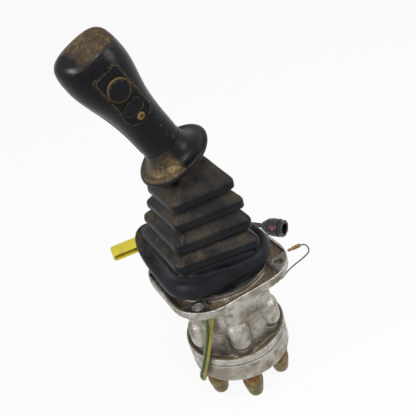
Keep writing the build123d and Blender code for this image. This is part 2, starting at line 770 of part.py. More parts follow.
with BuildPart() as oval_button:
    with BuildSketch(face_plane.offset(-panel_recess)):
        with Locations((0, blank_y)):
            SlotOverall(blank_length, blank_width)
    extrude(amount=panel_recess + pad_height + blank_rise)
    fillet(oval_button.edges().group_by(Axis(face_plane.origin, face_plane.z_dir))[-1], 0.6)
finish(oval_button, "oval_button")

with BuildPart() as panel_screw:
    with BuildSketch(face_plane.offset(-panel_recess / 2)):
        with Locations((0, screw_y)):
            Circle(panel_screw_radius)
    extrude(amount=panel_recess / 2 + 0.5)
    with BuildSketch(face_plane.offset(0.5)):
        with Locations((0, screw_y)):
            RegularPolygon(panel_screw_radius * 0.55, 6)
    extrude(amount=-1.2, mode=Mode.SUBTRACT)
finish(panel_screw, "panel_screw")

# ---------------------------------------------------------------- wire grommets
window_mid = -window_drop - window_height / 2
grommet_faces = {}
for name, angle in (("front", window_angle), ("rear", window_angle + 180)):
    outward = Vector(cos(radians(angle)), sin(radians(angle)), 0)
    across = Vector(-sin(radians(angle)), cos(radians(angle)), 0)
    with BuildPart() as grommet:
        with BuildSketch(Plane(origin=outward * (chamber_radius + 0.5) + Vector(0, 0, window_mid), x_dir=across, z_dir=outward)):
            Rectangle(window_width - 0.3, window_height - 0.3)
        extrude(amount=grommet_length)
    finish(grommet, f"wire_grommet_{name}")
    grommet_faces[name] = (outward * (chamber_radius + 0.5 + grommet_length) + Vector(0, 0, window_mid), across, outward)


# ---------------------------------------------------------------- cables
def cord(label, points, diameter):
    """Sweep one cable along straight runs and tangent arcs."""
    points = [Vector(point) for point in points]
    radii = []
    for before, corner, after in zip(points, points[1:], points[2:]):
        turn = radians((corner - before).get_angle(after - corner))
        shorter = min((corner - before).length, (after - corner).length)
        radii.append(0.45 * shorter / tan(turn / 2))
    with BuildPart() as tube:
        with BuildLine() as route:
            FilletPolyline(*points, radius=radii)
        with BuildSketch(Plane(origin=points[0], z_dir=points[1] - points[0])):
            Circle(diameter / 2)
        sweep(path=route.line)
    finish(tube, label)
    length = sum(edge.length for edge in route.edges())
    share = tube.part.volume / (length * pi * diameter**2 / 4)
    print(label, "length", round(length, 1), "volume share", round(share, 4), "radii", [round(r, 1) for r in radii])
    return length


front_face, front_across, front_out = grommet_faces["front"]
rear_face, rear_across, rear_out = grommet_faces["rear"]
loop_points = [
    front_face - front_across * loop_spread,
    front_face - front_across * loop_spread + front_out * 7,
    (-37.2, -32.2, -30.0),
    (-42.0, -29.5, -47.0),
    (-46.5, -23.8, -66.0),
    (-50.2, -16.5, -84.0),
    (-51.8, -11.0, -95.0),
    (-50.6, -17.6, -97.0),
    (-48.6, -21.5, -84.0),
    (-44.0, -28.5, -66.5),
    (-38.6, -34.0, -46.0),
    (-34.0, -36.2, -31.0),
    front_face + front_across * loop_spread + front_out * 7,
    front_face + front_across * loop_spread,
]
cord("wire_loop", loop_points, loop_diameter)

lie = ground + harness_diameter / 2 + 0.2
marker_lift = ground + marker_thickness / 2 + 0.1
plug_dir = Vector(connector_heading).normalized()
plug_end = Vector(connector_x, connector_y, ground + connector_radius + 0.1)
harness_points = [
    rear_face + rear_across * 2,
    rear_face + rear_across * 2 + rear_out * 20,
    (58.0, 64.0, -30.0),
    (67.0, 84.0, -62.0),
    (70.0, 104.0, -100.0),
    (66.0, 132.0, lie),
    (50.0, 178.0, lie),
    (26.0, 225.0, lie + 0.5),
    (3.0, 262.0, marker_lift),
    (10.0, 300.0, marker_lift),
    (45.0, 318.0, lie),
    (82.0, 296.0, lie),
    (106.0, 246.0, lie),
    (117.0, 216.0, lie + 4),
    plug_end - plug_dir * 22,
    plug_end,
]
cord("harness_cable", harness_points, harness_diameter)

low = ground + earth_diameter / 2 + 0.2
terminal_lift = ground + terminal_radius + 0.1
earth_points = [
    rear_face - rear_across * 4,
    rear_face - rear_across * 4 + rear_out * 15,
    (56.0, 50.0, -34.0),
    (68.0, 58.0, -62.0),
    (80.0, 68.0, -96.0),
    (96.0, 82.0, low),
    (114.0, 91.5, low),
    (128.0, 95.0, low),
    (140.0, 97.0, low),
    (151.0, 100.5, low),
    (161.5, 106.5, low),
    (162.5, 113.5, low + 0.6),
    (158.0, 118.0, terminal_lift),
    (151.5, 118.8, terminal_lift),
]
cord("earth_wire", earth_points, earth_diameter)

# ---------------------------------------------------------------- what the cables carry
with BuildPart() as marker_sleeve:
    run_start = Vector(harness_points[8])
    run_end = Vector(harness_points[9])
    along = (run_end - run_start).normalized()
    sideways = Vector(-along.Y, along.X, 0)
    marker_mid = run_start + (run_end - run_start) * 0.5
    marker_origin = marker_mid - along * (marker_width / 2) + sideways * ((marker_length - marker_thickness) / 2 - 3)
    with BuildSketch(Plane(origin=marker_origin, x_dir=sideways, z_dir=along)):
        SlotOverall(marker_length, marker_thickness)
        SlotOverall(marker_length - 2 * marker_wall, marker_thickness - 2 * marker_wall, mode=Mode.SUBTRACT)
    extrude(amount=marker_width)
finish(marker_sleeve, "marker_sleeve")

plug_plane = Plane(origin=plug_end, x_dir=(0, 0, 1), z_dir=plug_dir)
with BuildPart() as connector_body:
    with BuildSketch(plug_plane):
        Circle(connector_radius * 0.5)
    with BuildSketch(plug_plane.offset(connector_length * 0.25)):
        Circle(connector_radius * 0.85)
    loft()
    with BuildSketch(plug_plane.offset(connector_length * 0.25)):
        RegularPolygon(connector_radius * 0.95, 8)
    extrude(amount=connector_length * 0.75)
    with BuildSketch(plug_plane.offset(connector_length)):
        Circle(connector_radius * 0.6)
    extrude(amount=-connector_length * 0.4, mode=Mode.SUBTRACT)
finish(connector_body, "connector_body")

with BuildPart() as connector_ring:
    with BuildSketch(plug_plane.offset(connector_length * 0.45)):
        Circle(connector_radius)
        RegularPolygon(connector_radius * 0.95, 8, mode=Mode.SUBTRACT)
    extrude(amount=connector_length * 0.35)
finish(connector_ring, "connector_ring")

with BuildPart() as bullet_terminal:
    wire_end = Vector(earth_points[-1])
    terminal_plane = Plane(origin=wire_end, z_dir=wire_end - Vector(earth_points[-2]))
    with BuildSketch(terminal_plane):
        Circle(terminal_radius)
    extrude(amount=terminal_length * 0.6)
    with BuildSketch(terminal_plane.offset(terminal_length * 0.6)):
        Circle(terminal_radius * 0.7)
    extrude(amount=terminal_length * 0.4)
    fillet(bullet_terminal.edges().group_by(Axis(terminal_plane.origin, terminal_plane.z_dir))[-1], terminal_radius * 0.4)
finish(bullet_terminal, "bullet_terminal")
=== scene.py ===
import math
import bpy
import bmesh
from mathutils import Matrix, Vector, noise


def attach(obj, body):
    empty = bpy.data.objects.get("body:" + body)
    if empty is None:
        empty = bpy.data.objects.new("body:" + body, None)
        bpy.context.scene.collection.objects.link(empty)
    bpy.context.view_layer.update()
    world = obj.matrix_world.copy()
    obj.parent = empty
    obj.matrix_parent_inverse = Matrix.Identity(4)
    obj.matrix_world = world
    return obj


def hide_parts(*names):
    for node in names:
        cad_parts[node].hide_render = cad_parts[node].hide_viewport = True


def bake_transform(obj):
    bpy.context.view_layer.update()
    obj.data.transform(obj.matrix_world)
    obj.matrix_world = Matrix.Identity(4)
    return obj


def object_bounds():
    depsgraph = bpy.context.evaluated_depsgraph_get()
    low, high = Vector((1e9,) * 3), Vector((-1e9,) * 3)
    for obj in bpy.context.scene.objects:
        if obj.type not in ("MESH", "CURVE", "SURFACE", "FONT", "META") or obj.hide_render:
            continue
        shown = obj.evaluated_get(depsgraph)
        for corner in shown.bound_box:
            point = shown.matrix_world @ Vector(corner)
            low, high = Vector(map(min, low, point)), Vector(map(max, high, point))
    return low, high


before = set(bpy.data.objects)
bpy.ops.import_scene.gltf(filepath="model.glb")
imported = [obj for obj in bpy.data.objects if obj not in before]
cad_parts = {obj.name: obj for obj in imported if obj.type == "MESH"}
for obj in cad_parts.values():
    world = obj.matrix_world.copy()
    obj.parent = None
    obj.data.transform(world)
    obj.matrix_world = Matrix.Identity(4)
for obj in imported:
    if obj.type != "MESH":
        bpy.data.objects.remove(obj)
cadBox = [[float(value) for value in corner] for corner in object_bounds()]
print("frame loaded")

mm = 0.001  # the frame is in metres
upward = (0, 0, 1)
weld = 0.01 * mm  # points nearer than this become one


def clamped(value):
    return max(0, min(1, value))


def shade(red, green, blue):  # a colour as seen on a screen, 0 to 255
    linear = []
    for value in (red, green, blue):
        share = value / 255
        linear.append(share / 12.92 if value < 10 else ((share + 0.055) / 1.055) ** 2.4)
    return (*linear, 1.0)


def addNode(tree, kind, inputs=None, **settings):
    node = tree.nodes.new("ShaderNode" + kind)
    for key, value in settings.items():
        setattr(node, key, value)
    for key, value in (inputs or {}).items():
        if isinstance(value, bpy.types.NodeSocket):
            tree.links.new(value, node.inputs[key])
        else:
            node.inputs[key].default_value = value
    return node


def startMaterial(name, **values):
    material = bpy.data.materials.new(name)
    material.use_nodes = True
    tree = material.node_tree
    tree.nodes.clear()
    output = addNode(tree, "OutputMaterial")
    shader = addNode(tree, "BsdfPrincipled", inputs=values)
    tree.links.new(shader.outputs["BSDF"], output.inputs["Surface"])
    return material, tree, shader


def mottle(tree, scale, detail=5.0, roughness=0.6, stretch=(1, 1, 1), turn=(0, 0, 0)):
    place = addNode(tree, "TexCoord").outputs["Object"]
    place = addNode(tree, "Mapping", inputs={"Vector": place, "Scale": stretch, "Rotation": turn})
    values = {"Vector": place.outputs["Vector"], "Scale": scale, "Detail": detail, "Roughness": roughness}
    return addNode(tree, "TexNoise", inputs=values).outputs["Fac"]


def ramp(tree, socket, low, high, start=0.0, end=1.0):
    values = {0: socket, 1: low, 2: high, 3: start, 4: end}
    return addNode(tree, "MapRange", inputs=values, interpolation_type="SMOOTHSTEP").outputs[0]


def combine(tree, operation, first, second):
    return addNode(tree, "Math", inputs={0: first, 1: second}, operation=operation, use_clamp=True).outputs[0]


def product(tree, first, *others):
    for other in others:
        first = combine(tree, "MULTIPLY", first, other)
    return first


def inverse(tree, share):
    return combine(tree, "SUBTRACT", 1.0, share)


def tint(tree, color, share, over):  # a share of a second colour over the first
    return addNode(tree, "Mix", inputs={0: share, 6: color, 7: over}, data_type="RGBA").outputs[2]


def dotProduct(tree, first, second):
    return addNode(tree, "VectorMath", inputs={0: first, 1: second}, operation="DOT_PRODUCT").outputs["Value"]


def facing(tree, direction, low, high):
    return ramp(tree, dotProduct(tree, addNode(tree, "NewGeometry").outputs["Normal"], direction), low, high)


def along(tree, direction, low, high):  # 0 to 1 between two distances along a direction
    return ramp(tree, dotProduct(tree, addNode(tree, "TexCoord").outputs["Object"], direction), low, high)


def offAxis(tree, axis):  # distance from the middle along x (0) or y (1)
    place = addNode(tree, "TexCoord").outputs["Object"]
    place = addNode(tree, "SeparateXYZ", inputs={0: place}).outputs[axis]
    return addNode(tree, "Math", inputs={0: place}, operation="ABSOLUTE").outputs[0]


# a mask that grows in recesses, from ambient occlusion; the materials use it to paint shade into hollows
def crevice(tree, distance, low, high):
    openShare = addNode(tree, "AmbientOcclusion", inputs={"Distance": distance}, samples=6).outputs["AO"]
    return ramp(tree, openShare, high, low)


def edgeWear(tree, radius, low, high):
    rounded = addNode(tree, "Bevel", inputs={"Radius": radius}, samples=4).outputs["Normal"]
    plain = addNode(tree, "NewGeometry").outputs["Normal"]
    return ramp(tree, dotProduct(tree, rounded, plain), high, low)


def raiseBump(tree, shader, heights, distance):
    normal = None
    for height, strength in heights:
        values = {"Height": height, "Strength": strength, "Distance": distance}
        if normal is not None:
            values["Normal"] = normal
        normal = addNode(tree, "Bump", inputs=values).outputs["Normal"]
    tree.links.new(normal, shader.inputs["Normal"])


def dress(node, material):
    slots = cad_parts[node].data.materials
    slots.clear()
    slots.append(material)


def drawTube(name, points, radius, material, steps, rounds, caps):  # a round tube along a smooth line
    data = bpy.data.curves.new(name, "CURVE")
    data.dimensions = "3D"
    line = data.splines.new("NURBS")
    line.points.add(len(points) - 1)
    for point, spot in zip(line.points, points):
        point.co = (*spot, 1)
    line.order_u = 3
    line.use_endpoint_u = True
    line.resolution_u = steps
    data.bevel_depth = radius
    data.bevel_resolution = rounds
    data.use_fill_caps = caps
    data.materials.append(material)
    piece = bpy.data.objects.new(name, data)
    bpy.context.scene.collection.objects.link(piece)
    return piece


def finishMesh(name, builder, material, smooth=True):
    mesh = bpy.data.meshes.new(name)
    builder.to_mesh(mesh)
    builder.free()
    mesh.materials.append(material)
    for face in mesh.polygons:
        face.use_smooth = smooth
    piece = bpy.data.objects.new(name, mesh)
    bpy.context.scene.collection.objects.link(piece)
    return piece


def applyModifiers(piece):
    bpy.context.view_layer.update()
    baked = bpy.data.meshes.new_from_object(piece.evaluated_get(bpy.context.evaluated_depsgraph_get()))
    piece.modifiers.clear()
    old = piece.data
    piece.data = baked
    bpy.data.meshes.remove(old)


def subdivideOnce(piece, boundary=None):
    smooth = piece.modifiers.new("smooth", "SUBSURF")
    smooth.levels = smooth.render_levels = 1
    if boundary:
        smooth.boundary_smooth = boundary
    applyModifiers(piece)


def skinRings(name, rings, material):
    builder = bmesh.new()
    grid = [[builder.verts.new(point) for point in ring] for ring in rings]
    count = len(rings[0])
    for lower, upper in zip(grid, grid[1:]):
        for index in range(count):
            follow = (index + 1) % count
            builder.faces.new((lower[index], lower[follow], upper[follow], upper[index]))
    bmesh.ops.recalc_face_normals(builder, faces=builder.faces)
    return finishMesh(name, builder, material)


cameraLook = {"place": (-0.15691, -0.45669, 0.36854), "turn": (56.806, 14.2016, -29.0006), "lens": 57.365}
stageLook = {
    "white": shade(255, 255, 255), "paper": shade(216, 216, 216), "shadowShare": 0.08, "worldLight": 0.30,
    "floorHalf": 4, "floorGap": 0.2 * mm, "aim": (0, 0, 0.06),
}
lampLook = {
    "leftLamp": {"place": (-1.15, -0.15, 0.85), "size": 0.40, "power": 10.0, "color": (0.90, 0.95, 1.0)},
    "frontLamp": {"place": (-0.05, -0.65, 1.45), "size": 0.36, "power": 12.0, "color": (0.95, 0.98, 1.0)},
    "fillLamp": {"place": (0.95, -0.70, 0.60), "size": 0.45, "power": 6.0, "color": (1.0, 0.98, 0.95)},
}


def buildCamera(look):
    camera = bpy.data.cameras.new("camera")
    camera.lens = look["lens"]
    camera.sensor_width = 36
    camera.clip_start = 0.01
    holder = bpy.data.objects.new("camera", camera)
    holder.location = look["place"]
    holder.rotation_euler = [math.radians(angle) for angle in look["turn"]]
    bpy.context.scene.collection.objects.link(holder)
    bpy.context.scene.camera = holder


def seenRays(tree):  # rays that should meet the white background
    rays = addNode(tree, "LightPath").outputs
    mirrored = combine(tree, "MAXIMUM", rays["Is Glossy Ray"], rays["Is Transmission Ray"])
    return combine(tree, "MAXIMUM", rays["Is Camera Ray"], mirrored)


def buildWorld(look):
    world = bpy.data.worlds.new("studio")
    bpy.context.scene.world = world
    world.use_nodes = True
    tree = world.node_tree
    tree.nodes.clear()
    light = addNode(tree, "Background", inputs={"Color": look["white"], "Strength": look["worldLight"]})
    white = addNode(tree, "Background", inputs={"Color": look["white"], "Strength": 1.0})
    mixed = addNode(tree, "MixShader", inputs={0: seenRays(tree), 1: light.outputs[0], 2: white.outputs[0]})
    output = addNode(tree, "OutputWorld")
    tree.links.new(mixed.outputs[0], output.inputs["Surface"])


def buildFloor(look):
    paper = bpy.data.materials.new("paperFloor")
    paper.use_nodes = True
    tree = paper.node_tree
    tree.nodes.clear()
    matte = addNode(tree, "BsdfDiffuse", inputs={"Color": look["paper"]})
    bright = addNode(tree, "Emission", inputs={"Color": look["white"], "Strength": 1.0})
    share = addNode(tree, "MapRange", inputs={0: seenRays(tree), 3: 0.0, 4: 1 - look["shadowShare"]})
    parts = {0: share.outputs[0], 1: matte.outputs[0], 2: bright.outputs[0]}
    mixed = addNode(tree, "MixShader", inputs=parts)
    output = addNode(tree, "OutputMaterial")
    tree.links.new(mixed.outputs[0], output.inputs["Surface"])
    builder = bmesh.new()
    bmesh.ops.create_grid(builder, x_segments=8, y_segments=8, size=look["floorHalf"])
    bmesh.ops.translate(builder, verts=builder.verts, vec=(0, 0, cadBox[0][2] - look["floorGap"]))
    finishMesh("floor", builder, paper)


def buildLamp(name, lamp):
    data = bpy.data.lights.new(name, "AREA")
    data.shape = "DISK"
    data.size = lamp["size"]
    data.energy = lamp["power"]
    data.color = lamp["color"]
    source = bpy.data.objects.new(name, data)
    source.location = lamp["place"]
    aim = Vector(stageLook["aim"]) - Vector(lamp["place"])
    source.rotation_euler = aim.to_track_quat("-Z", "Y").to_euler()
    bpy.context.scene.collection.objects.link(source)


buildCamera(cameraLook)
buildWorld(stageLook)
buildFloor(stageLook)
for name, lamp in lampLook.items():
    buildLamp(name, lamp)
bpy.context.scene.view_settings.view_transform = "Standard"
print("stage ready")


# in every look a grain is a noise's scale, detail and roughness, then its stretch and turn

# cast aluminium: clouded metal, brown stains, grime and painted shade in pockets, dark ear pads, bright
# rubbed edges
castLook = {
    "cloudGrain": (38, 6), "patchGrain": (110, 6, 0.65), "pitGrain": (900, 4, 0.7), "fineGrain": (2600, 2),
    "bump": 0.7 * mm,
    "bright": shade(180, 176, 168), "dull": shade(128, 122, 110),
    "stain": shade(92, 76, 52), "stainShare": 0.6,
    "grime": shade(50, 38, 24), "grimeLight": shade(118, 100, 74), "grimeShadeShare": 1.0, "grimeShadeReach": 11 * mm,
    "worn": shade(246, 246, 243), "wearShare": 0.85, "wearSize": 1.4 * mm, "metal": 0.94, "rough": 0.29,
    "pitShare": 0.45, "pocketFloor": (4.5 * mm, 6.2 * mm),
    "ear": shade(84, 86, 88), "earShare": 0.75,
    "earInside": (32.5 * mm, 34.5 * mm), "earTop": (6.5 * mm, 7.2 * mm),
}


def castMetal(name, look):
    material, tree, shader = startMaterial(name)
    cloud = mottle(tree, *look["cloudGrain"])
    patch = mottle(tree, *look["patchGrain"])
    pit = mottle(tree, *look["pitGrain"])
    fine = mottle(tree, *look["fineGrain"])
    color = tint(tree, look["bright"], ramp(tree, cloud, 0.40, 0.62), look["dull"])
    color = tint(tree, color, product(tree, ramp(tree, patch, 0.52, 0.64), look["stainShare"]), look["stain"])
    color = tint(tree, color, product(tree, ramp(tree, pit, 0.60, 0.72), look["pitShare"]), look["grime"])
    up = facing(tree, upward, 0.55, 0.92)
    floors = product(tree, up, inverse(tree, along(tree, upward, *look["pocketFloor"])))
    floors = product(tree, floors, ramp(tree, patch, 0.26, 0.48, 0.45, 1.0))
    # grime together with painted shade: recesses found by ambient occlusion are darkened towards the dirt
    # colour and made less metallic
    grime = crevice(tree, look["grimeShadeReach"], 0.40, 0.88)
    grime = product(tree, grime, ramp(tree, patch, 0.34, 0.58, 0.40, 1.0), look["grimeShadeShare"])
    grime = combine(tree, "MAXIMUM", grime, floors)
    dirt = tint(tree, look["grime"], ramp(tree, pit, 0.35, 0.65), look["grimeLight"])
    color = tint(tree, color, grime, dirt)
    ear = product(tree, *(ramp(tree, offAxis(tree, axis), *look["earInside"]) for axis in (0, 1)))
    ear = product(tree, ear, up, along(tree, upward, *look["earTop"]), look["earShare"])
    color = tint(tree, color, ear, look["ear"])
    wear = product(tree, edgeWear(tree, look["wearSize"], 0.86, 0.99), ramp(tree, patch, 0.28, 0.50))
    color = tint(tree, color, product(tree, wear, look["wearShare"]), look["worn"])
    rough = ramp(tree, patch, 0.3, 0.7, look["rough"] - 0.10, look["rough"] + 0.12)
    rough = combine(tree, "ADD", rough, product(tree, grime, 0.35))
    tree.links.new(color, shader.inputs["Base Color"])
    tree.links.new(ramp(tree, grime, 0.1, 0.8, look["metal"], 0.05), shader.inputs["Metallic"])
    tree.links.new(rough, shader.inputs["Roughness"])
    raiseBump(tree, shader, [(fine, 0.25), (pit, 0.40), (patch, 0.55), (cloud, 0.30)], look["bump"])
    return material


platedLook = {"cloudGrain": (120, 5), "speckGrain": (700, 5, 0.7), "wearSize": 0.7 * mm, "wearShare": 0.5,
              "bump": 0.4 * mm}


def platedMetal(name, own):
    look = {**platedLook, **own}
    material, tree, shader = startMaterial(name, Metallic=look["metal"])
    cloud = mottle(tree, *look["cloudGrain"])
    speck = mottle(tree, *look["speckGrain"])
    color = tint(tree, look["bright"], ramp(tree, cloud, 0.35, 0.65), look["dull"])
    color = tint(tree, color, ramp(tree, speck, 0.52, 0.72), look["dirt"])
    if "rust" in look:
        root = product(tree, along(tree, upward, *look["rustSpan"]), ramp(tree, cloud, 0.32, 0.5))
        color = tint(tree, color, root, look["rust"])
    wear = edgeWear(tree, look["wearSize"], 0.90, 0.99)
    color = tint(tree, color, product(tree, wear, look["wearShare"]), look["bright"])
    rough = ramp(tree, speck, 0.3, 0.7, look["rough"] - 0.08, look["rough"] + 0.14)
    tree.links.new(color, shader.inputs["Base Color"])
    tree.links.new(rough, shader.inputs["Roughness"])
    raiseBump(tree, shader, [(speck, 0.25), (cloud, 0.2)], look["bump"])
    return material


castAluminium = castMetal("castAluminium", castLook)
blockAluminium = castMetal("blockAluminium", {**castLook, "dull": shade(134, 126, 111), "grimeShadeShare": 0.8})
machinedSteel = platedMetal("machinedSteel", {
    "bright": shade(176, 176, 178), "dull": shade(128, 127, 126), "dirt": shade(74, 64, 52),
    "metal": 0.95, "rough": 0.32})
yellowPlating = platedMetal("yellowPlating", {
    "bright": shade(136, 120, 80), "dull": shade(100, 86, 54), "dirt": shade(54, 42, 26),
    "rust": shade(108, 70, 30), "rustSpan": (-112 * mm, -101 * mm), "metal": 0.6, "rough": 0.42})
brassScrew = platedMetal("brassScrew", {
    "bright": shade(150, 122, 76), "dull": shade(96, 74, 44), "dirt": shade(36, 27, 18),
    "metal": 0.9, "rough": 0.38})
terminalSleeve = platedMetal("terminalSleeve", {
    "bright": shade(150, 118, 62), "dull": shade(96, 70, 36), "dirt": shade(46, 34, 22),
    "metal": 0.35, "rough": 0.45})
beadDust = platedMetal("beadDust", {
    "bright": shade(120, 100, 70), "dull": shade(60, 48, 34), "dirt": shade(22, 20, 18),
    "metal": 0.0, "rough": 0.55})
print("metals ready")


gripAxis = Vector((-0.374607, 0, 0.927184))  # the grip leans 22 degrees
gripSide = Vector((0.927184, 0, 0.374607))
crankPoint = Vector((0, 0, 108 * mm))
gripFoot = crankPoint.dot(gripAxis)
gripMiddle = crankPoint.dot(gripSide)


def gripPoint(x, y, w):  # millimetres along the grip's own axes
    return crankPoint + (gripSide * x + Vector((0, 1, 0)) * y + gripAxis * w) * mm


def alongGrip(tree, low, high):  # between two distances above the crank
    return along(tree, tuple(gripAxis), gripFoot + low * mm, gripFoot + high * mm)


def acrossGrip(tree, low, high):  # between two distances right of the grip's axis
    return along(tree, tuple(gripSide), gripMiddle + low * mm, gripMiddle + high * mm)


gripLook = {
    "cloudGrain": (42, 6, 0.62), "speckGrain": (300, 6, 0.72), "pitGrain": (120, 5, 0.7),
    "scratchGrain": (260, 4, 0.6, (1, 1, 9), (0.3, 0.4, 0.2)), "crownGrain": (62, 6, 0.6),
    "spotGrain": (900, 2, 0.5), "bump": 0.5 * mm, "sheen": 0.15,
    "black": shade(5, 6, 8), "grey": shade(13, 14, 18), "scuff": shade(36, 36, 38), "scuffShare": 0.35,
    "grimeDark": shade(66, 53, 40), "grimeLight": shade(122, 99, 70), "crownShare": 0.92,
    "crownSpan": (121, 134), "crownSide": (-15, -1), "crownFront": (-27 * mm, -16 * mm),
    "footSpan": (27, 43), "footShare": 0.6, "hazeShare": 0.22, "edgeShare": 0.30, "edgeSize": 0.8 * mm,
    "speck": shade(190, 196, 190), "speckFrom": (34, 38), "speckTo": (60, 64), "speckSide": (2, 8),
    "rough": 0.27,
}


def gripPlastic(name, look):  # black plastic with dust on the crown, at the foot and along edges
    material, tree, shader = startMaterial(name, **{"Specular IOR Level": look["sheen"]})
    cloud = mottle(tree, *look["cloudGrain"])
    speck = mottle(tree, *look["speckGrain"])
    pit = mottle(tree, *look["pitGrain"])
    scratch = mottle(tree, *look["scratchGrain"])
    color = tint(tree, look["black"], ramp(tree, cloud, 0.35, 0.7), look["grey"])
    scuff = product(tree, ramp(tree, scratch, 0.60, 0.74), look["scuffShare"])
    color = tint(tree, color, scuff, look["scuff"])
    crown = product(tree, alongGrip(tree, *look["crownSpan"]), acrossGrip(tree, *look["crownSide"]))
    crown = product(tree, crown, along(tree, (0, 1, 0), *look["crownFront"]))
    ragged = combine(tree, "ADD", mottle(tree, *look["crownGrain"]), product(tree, crown, 0.22))
    ragged = product(tree, crown, ramp(tree, ragged, 0.50, 0.60), ramp(tree, pit, 0.30, 0.44, 0.2, 1.0))
    spread = product(tree, ramp(tree, speck, 0.44, 0.66), ramp(tree, pit, 0.42, 0.60))
    grime = tint(tree, look["grimeDark"], spread, look["grimeLight"])
    color = tint(tree, color, product(tree, ragged, look["crownShare"]), grime)
    foot = product(tree, inverse(tree, alongGrip(tree, *look["footSpan"])), ramp(tree, cloud, 0.40, 0.60))
    color = tint(tree, color, product(tree, foot, look["footShare"]), look["grimeDark"])
    haze = product(tree, facing(tree, upward, 0.35, 0.95), ramp(tree, pit, 0.40, 0.68), look["hazeShare"])
    color = tint(tree, color, haze, look["grimeDark"])
    wear = product(tree, edgeWear(tree, look["edgeSize"], 0.86, 0.99), ramp(tree, speck, 0.30, 0.55))
    color = tint(tree, color, product(tree, wear, look["edgeShare"]), look["grimeLight"])
    spots = product(tree, alongGrip(tree, *look["speckFrom"]), acrossGrip(tree, *look["speckSide"]))
    spots = product(tree, spots, inverse(tree, alongGrip(tree, *look["speckTo"])))
    spots = product(tree, spots, ramp(tree, mottle(tree, *look["spotGrain"]), 0.70, 0.74))
    color = tint(tree, color, spots, look["speck"])
    rough = ramp(tree, pit, 0.3, 0.7, look["rough"] - 0.06, look["rough"] + 0.1)
    rough = combine(tree, "ADD", rough, product(tree, ragged, 0.4))
    tree.links.new(color, shader.inputs["Base Color"])
    tree.links.new(rough, shader.inputs["Roughness"])
    raiseBump(tree, shader, [(scratch, 0.05), (speck, 0.10), (cloud, 0.12)], look["bump"])
    return material


gripBlack = gripPlastic("gripBlack", gripLook)
panelBlack = gripPlastic("panelBlack", {
    **gripLook, "crownShare": 0.3, "edgeShare": 0.75, "edgeSize": 0.5 * mm,
    "grimeLight": shade(196, 172, 132), "rough": 0.36})
buttonBlack = gripPlastic("buttonBlack", {
    **gripLook, "black": shade(8, 9, 13), "grey": shade(16, 18, 26), "edgeShare": 0.6, "rough": 0.24})
bezelBlack = gripPlastic("bezelBlack", {
    **gripLook, "black": shade(44, 36, 26), "grey": shade(96, 78, 54), "crownShare": 0.9, "edgeShare": 1.0,
    "grimeLight": shade(158, 134, 98), "rough": 0.5})
print("plastics ready")


rubberLook = {
    "cloudGrain": (30, 6, 0.62), "speckGrain": (330, 6, 0.7), "fineGrain": (1700, 3),
    "smearGrain": (70, 5, 0.6, (1, 1, 3)), "creviceShadeReach": 10 * mm, "creviceShadeShare": 0.75,
    "edgeSize": 1.4 * mm, "bump": 0.5 * mm,
}


def dustyRubber(name, own):
    look = {**rubberLook, **own}
    material, tree, shader = startMaterial(name, **{"Specular IOR Level": look["sheen"]})
    cloud = mottle(tree, *look["cloudGrain"])
    speck = mottle(tree, *look["speckGrain"])
    fine = mottle(tree, *look["fineGrain"])
    smear = mottle(tree, *look["smearGrain"])
    color = tint(tree, look["black"], ramp(tree, cloud, 0.35, 0.7), look["grey"])
    dust = facing(tree, look["dustSide"], look["dustFrom"], 0.95)
    dust = product(tree, dust, ramp(tree, cloud, 0.42, 0.62, look["dustFloor"], 1.0))
    dust = product(tree, dust, ramp(tree, speck, 0.36, 0.60, 0.25, 1.0))
    for direction, low, high in look["dustSpans"]:
        dust = product(tree, dust, along(tree, direction, low, high))
    dust = product(tree, dust, look["dustShare"])
    color = tint(tree, color, product(tree, ramp(tree, smear, 0.48, 0.75), look["filmShare"]), look["film"])
    color = tint(tree, color, dust, look["dust"])
    # painted shade: recesses, creases and the gaps under the folds are darkened towards the rubber's black
    creviceShade = crevice(tree, look["creviceShadeReach"], 0.15, 0.62)
    color = tint(tree, color, product(tree, creviceShade, look["creviceShadeShare"]), look["black"])
    rubbed = product(tree, edgeWear(tree, look["edgeSize"], 0.88, 0.99), ramp(tree, speck, 0.35, 0.6))
    color = tint(tree, color, product(tree, rubbed, look["edgeShare"]), look["edge"])
    rough = ramp(tree, cloud, 0.3, 0.7, look["rough"] - 0.06, look["rough"] + 0.08)
    rough = combine(tree, "ADD", rough, product(tree, dust, 0.5))
    tree.links.new(color, shader.inputs["Base Color"])
    tree.links.new(rough, shader.inputs["Roughness"])
    raiseBump(tree, shader, [(fine, 0.18), (speck, 0.22), (smear, 0.15)], look["bump"])
    return material


bootRubber = dustyRubber("bootRubber", {
    "black": shade(9, 10, 13), "grey": shade(26, 28, 34), "dust": shade(94, 80, 60),
    "film": shade(44, 40, 35), "edge": shade(56, 60, 68), "dustSide": upward,
    "dustFrom": 0.30, "dustFloor": 0.08, "dustShare": 0.90,
    "dustSpans": [((0.10, 0.10, 0.99), 30 * mm, 46 * mm)],  # the brim stays clean
    "filmShare": 0.30, "edgeShare": 0.35, "rough": 0.38, "sheen": 0.13})
skirtRubber = dustyRubber("skirtRubber", {
    "black": shade(9, 9, 11), "grey": shade(20, 20, 24), "dust": shade(158, 130, 92),
    "film": shade(50, 43, 34), "edge": shade(44, 45, 50), "dustSide": (-0.30, -0.30, 0.90),
    "dustFrom": 0.05, "dustFloor": 0.45, "dustShare": 1.0,
    "filmShare": 0.18, "edgeShare": 0.25, "rough": 0.32, "sheen": 0.15,
    "dustSpans": [(tuple(-gripSide), -gripMiddle, -gripMiddle + 9 * mm),  # the left half of the dish
                  (tuple(gripAxis), gripFoot + 20.7 * mm, gripFoot + 22.2 * mm)]})
sealRubber = dustyRubber("sealRubber", {
    "black": shade(18, 18, 19), "grey": shade(34, 34, 35), "dust": shade(84, 72, 54),
    "film": shade(54, 48, 40), "edge": shade(56, 56, 58), "dustSide": upward,
    "dustFrom": 0.5, "dustFloor": 0.3, "dustShare": 0.4,
    "dustSpans": [], "filmShare": 0.3, "edgeShare": 0.3, "rough": 0.6, "sheen": 0.2})
print("rubbers ready")


